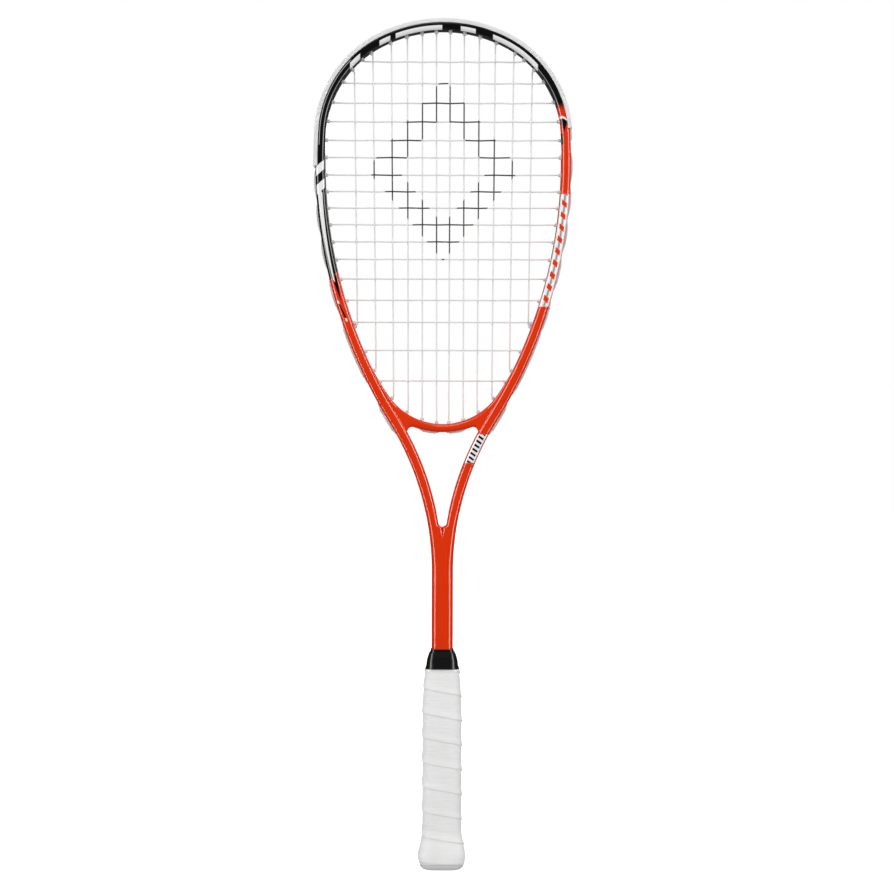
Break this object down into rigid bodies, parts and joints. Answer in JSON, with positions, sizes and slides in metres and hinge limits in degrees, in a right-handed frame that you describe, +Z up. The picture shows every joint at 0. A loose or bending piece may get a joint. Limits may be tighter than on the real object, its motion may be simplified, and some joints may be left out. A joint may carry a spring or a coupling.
{
  "type": "squash racket",
  "caption": "Squash racket with a teardrop hoop, open throat, woven string bed, clear bumper and a wrapped straight handle.",
  "frame": {"origin": "centre of the flat end of the handle's butt cap, at the bottom of the racket's bounding box", "axes": "+Z runs up the shaft to the crown of the hoop, +X to the right of the hoop seen from the front, the front string face looks along -Y"},
  "size_m": [0.2093, 0.0334, 0.686],
  "materials": {
    "frame_paint": "gloss",
    "foam": "matte",
    "clear_guard": "satin",
    "string": "satin",
    "cap_plastic": "satin",
    "staple_steel": "satin",
    "grip": "matte",
    "tape": "satin",
    "collar_rubber": "satin"
  },
  "bodies": {
    "root": {"frame_hairpin": "frame_paint", "throat_bridge": "frame_paint", "bridge_core": "foam", "bumper_guard": "clear_guard", "grommet_strip_left": "clear_guard", "grommet_strip_right": "clear_guard", "throat_grommet_left": "clear_guard", "throat_grommet_right": "clear_guard", "bridge_grommet_left": "clear_guard", "bridge_grommet_right": "clear_guard", "main_string": "string", "cross_string": "string", "pallet_front": "foam", "pallet_back": "foam", "butt_cap": "cap_plastic", "butt_door": "cap_plastic", "handle_staples": "staple_steel", "grip_wrap": "grip", "finishing_tape": "tape", "collar": "collar_rubber", "shaft_plug_left": "foam", "shaft_plug_right": "foam"}
  },
  "joints": []
}
